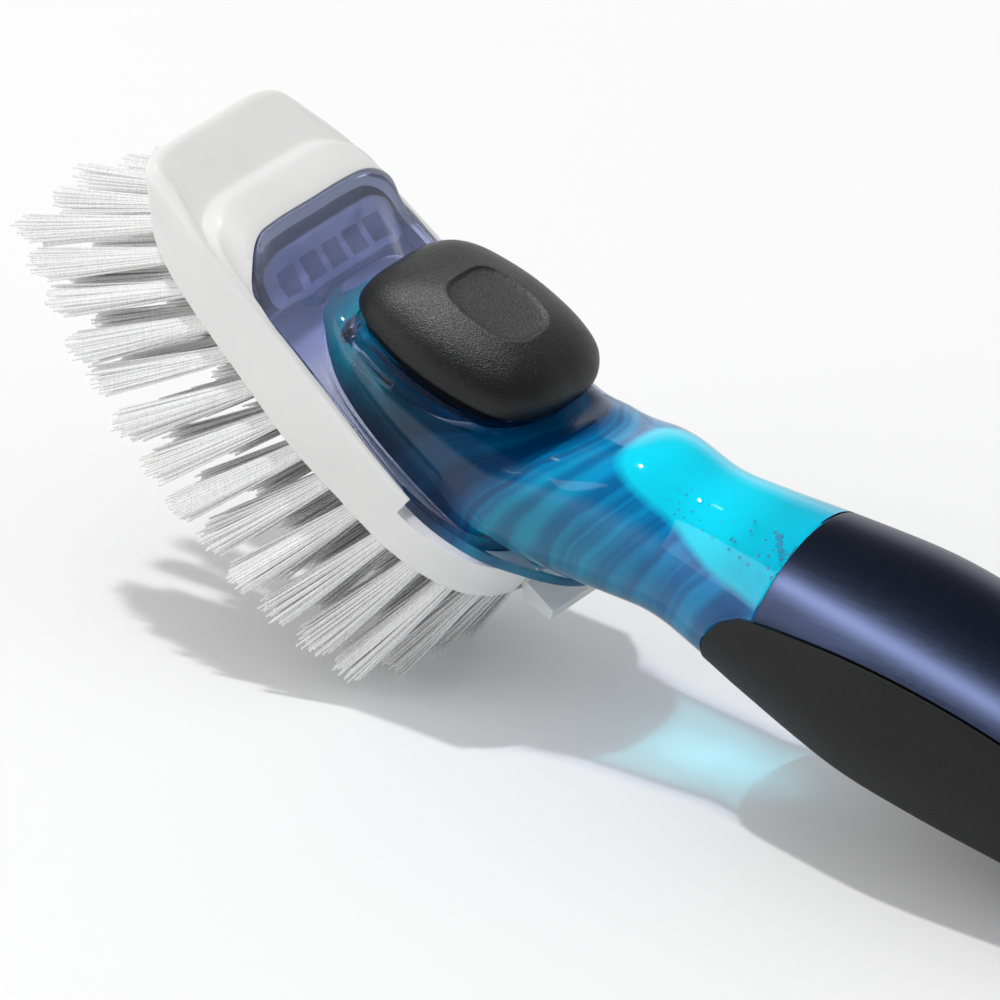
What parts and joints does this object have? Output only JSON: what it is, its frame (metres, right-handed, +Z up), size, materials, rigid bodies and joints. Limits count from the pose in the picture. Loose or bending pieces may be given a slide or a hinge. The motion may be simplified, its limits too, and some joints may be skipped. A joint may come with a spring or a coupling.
{
  "type": "soap-dispensing brush",
  "caption": "Clip-on brush head on a clear soap-filled handle with a thumb pump, a metal upper sleeve, a soft grip and a screw cap at the end.",
  "frame": {"origin": "centre of the overall box at the surface that the brush stands on", "axes": "+X from the bristle end to the cap end, +Y to the side, +Z up"},
  "size_m": [0.265, 0.0614, 0.088],
  "materials": {
    "white_plastic": "satin white",
    "white_nylon": "translucent nylon",
    "frosted_plastic": "frosted",
    "pin_steel": "drawn wire",
    "nozzle_seal_rubber": "matte",
    "clear_plastic": "clear, tinted violet blue",
    "base_plastic": "clear, tinted",
    "catch_plastic": "clear, tinted",
    "well_plastic": "clear, tinted",
    "blue_soap": "clear blue liquid",
    "button_black": "fine spark texture",
    "carrier_grey": "moulded",
    "rod_plastic": "natural",
    "piston_plastic": "natural",
    "piston_seal_rubber": "matte",
    "spring_steel": "drawn wire",
    "barrel_plastic": "natural",
    "gland_plastic": "natural",
    "inlet_silicone": "translucent",
    "outlet_silicone": "translucent",
    "nozzle_plastic": "clear, tinted",
    "dark_blue_metal": "dark blue gloss metal",
    "grip_rubber": "matte soft touch",
    "collar_black": "satin",
    "cap_black": "satin",
    "cap_seal_rubber": "matte"
  },
  "bodies": {
    "body": {"upper_housing": "clear_plastic", "lower_housing": "base_plastic", "front_catch": "catch_plastic", "button_well": "well_plastic", "pump_barrel": "barrel_plastic", "barrel_gland": "gland_plastic", "inlet_valve": "inlet_silicone", "outlet_valve": "outlet_silicone", "nozzle": "nozzle_plastic", "soap_fill": "blue_soap", "steel_sleeve": "dark_blue_metal", "handle_grip": "grip_rubber", "end_collar": "collar_black", "return_spring": "spring_steel"},
    "button": {"button_cap": "button_black", "button_carrier": "carrier_grey", "plunger_rod": "rod_plastic", "piston": "piston_plastic", "piston_seal": "piston_seal_rubber"},
    "head": {"head_block": "white_plastic", "bristle_field": "white_nylon", "latch_pin": "pin_steel", "nozzle_seal": "nozzle_seal_rubber"},
    "latch": {"release_latch": "frosted_plastic"},
    "seal": {"cap_seal": "cap_seal_rubber"},
    "cap": {"fill_cap": "cap_black"}
  },
  "joints": [
    {"name": "button_press", "type": "slide", "parent": "body", "child": "button", "axis": [-0.5799, 0, -0.8147], "range_m": [0, 0.003], "stiffness_N_per_m": 1200, "springref_m": -0.0015, "deforming": ["return_spring"]},
    {"name": "head_release", "type": "slide", "parent": "body", "child": "head", "axis": [-0.5799, 0, -0.8147], "range_m": [0, 0.02]},
    {"name": "latch_press", "type": "hinge", "parent": "head", "child": "latch", "pos_m": [-0.02902, 0.00013, 0.02623], "axis": [0, 1, 0], "range_deg": [0, 8], "stiffness_Nm_per_rad": 0.05, "springref_deg": -5.73},
    {"name": "cap_lift", "type": "slide", "parent": "body", "child": "seal", "axis": [0.9811, 0, -0.1933], "range_m": [0, 0.012]},
    {"name": "cap_turn", "type": "hinge", "parent": "seal", "child": "cap", "pos_m": [0.11811, 0.00013, 0.01852], "axis": [0.9811, 0, -0.1933], "range_deg": [0, 1080]}
  ],
  "couplings": [
    {"joint": "cap_lift", "follows": "cap_turn", "m_per_rad": 0.00063662}
  ]
}
